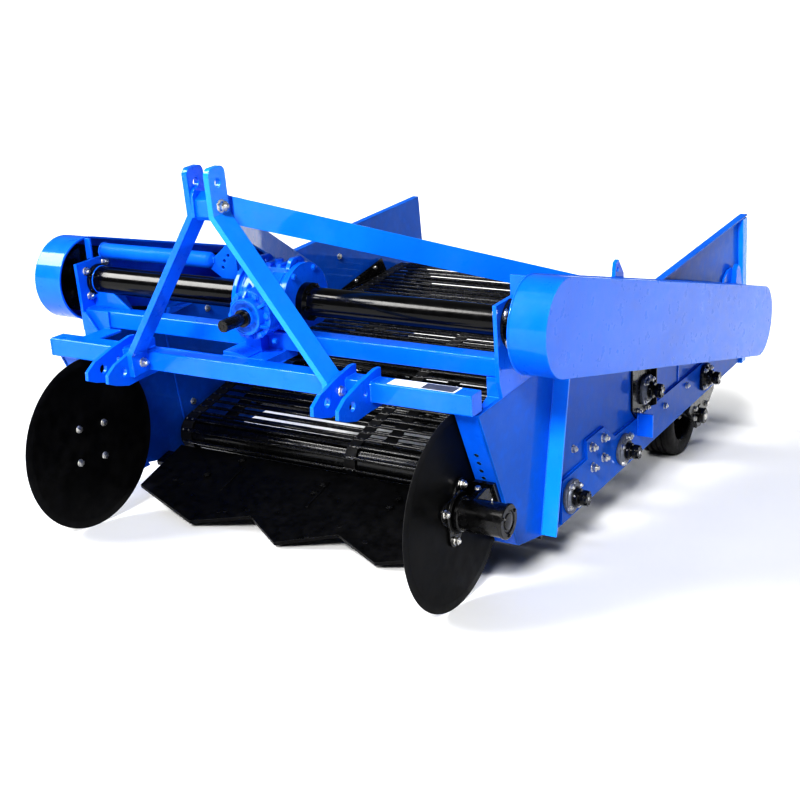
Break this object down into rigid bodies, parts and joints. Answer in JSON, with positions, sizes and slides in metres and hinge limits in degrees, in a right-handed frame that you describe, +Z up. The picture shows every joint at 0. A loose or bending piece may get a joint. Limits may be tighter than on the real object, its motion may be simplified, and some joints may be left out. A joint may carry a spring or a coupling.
{
  "type": "potato digger",
  "caption": "Tractor-mounted elevator potato digger: steel frame with three-point hitch, digging share, coulter discs, rod web conveyor and belt drives under side covers.",
  "frame": {"origin": "on the floor, at the middle of the machine's outline seen from above", "axes": "+Z up, +Y towards the rear (crop outlet), +X to the right when looking rearward; parked nose-down by the pitch of its wheels"},
  "size_m": [1.848, 2.6764, 1.2239],
  "materials": {
    "blue_paint": "gloss",
    "black_paint": "gloss",
    "bright_steel": "satin",
    "belt_rubber": "matte",
    "wheel_rubber": "satin"
  },
  "bodies": {
    "frame": {"cross_shaft_ends": "bright_steel", "digging_share": "black_paint", "gearbox": "blue_paint", "gearbox_bed": "blue_paint", "gearbox_stay": "blue_paint", "left_bearing_plate": "blue_paint", "left_bottom_rail": "blue_paint", "left_brace": "blue_paint", "left_cover_lug": "blue_paint", "left_cover_strap": "blue_paint", "left_disc_carrier": "black_paint", "left_drive_belt": "belt_rubber", "left_drive_cover": "blue_paint", "left_drive_pulleys": "black_paint", "left_flange_bearings": "black_paint", "left_front_member": "blue_paint", "left_hitch_bracket": "blue_paint", "left_mast_leg": "blue_paint", "left_panel_posts": "blue_paint", "left_shaft_housing": "black_paint", "left_side_panel": "blue_paint", "left_wheel_bracket": "black_paint", "mast_tie": "blue_paint", "rear_cross_tube": "blue_paint", "right_bearing_plate": "blue_paint", "right_bottom_rail": "blue_paint", "right_brace": "blue_paint", "right_cover_lug": "blue_paint", "right_cover_strap": "blue_paint", "right_disc_carrier": "black_paint", "right_drive_belt": "belt_rubber", "right_drive_cover": "blue_paint", "right_drive_pulleys": "black_paint", "right_flange_bearings": "black_paint", "right_front_member": "blue_paint", "right_hitch_bracket": "blue_paint", "right_mast_leg": "blue_paint", "right_panel_posts": "blue_paint", "right_shaft_housing": "black_paint", "right_side_panel": "blue_paint", "right_wheel_bracket": "black_paint", "second_beam": "blue_paint", "share_bar": "black_paint", "toolbar": "blue_paint", "web_conveyor": "black_paint", "web_drive_shaft": "black_paint", "web_front_roller": "black_paint", "web_support_rollers": "black_paint"},
    "left_disc_body": {"left_disc": "black_paint"},
    "right_disc_body": {"right_disc": "black_paint"},
    "left_gauge_wheel_body": {"left_gauge_wheel": "wheel_rubber"},
    "right_gauge_wheel_body": {"right_gauge_wheel": "wheel_rubber"},
    "pto_shaft_body": {"pto_shaft": "black_paint"}
  },
  "joints": [
    {"name": "left_disc_spin", "type": "hinge", "parent": "frame", "child": "left_disc_body", "pos_m": [-0.7, -1.05116, 0.288], "axis": [1, 0, 0], "continuous": true},
    {"name": "right_disc_spin", "type": "hinge", "parent": "frame", "child": "right_disc_body", "pos_m": [0.67, -1.05116, 0.288], "axis": [1, 0, 0], "continuous": true},
    {"name": "left_gauge_wheel_spin", "type": "hinge", "parent": "frame", "child": "left_gauge_wheel_body", "pos_m": [-0.575, 0.81148, 0.17], "axis": [1, 0, 0], "continuous": true},
    {"name": "right_gauge_wheel_spin", "type": "hinge", "parent": "frame", "child": "right_gauge_wheel_body", "pos_m": [0.545, 0.81148, 0.17], "axis": [1, 0, 0], "continuous": true},
    {"name": "pto_shaft_spin", "type": "hinge", "parent": "frame", "child": "pto_shaft_body", "pos_m": [-0.023, -1.18935, 0.76386], "axis": [0, 0.9942, 0.108], "continuous": true}
  ]
}
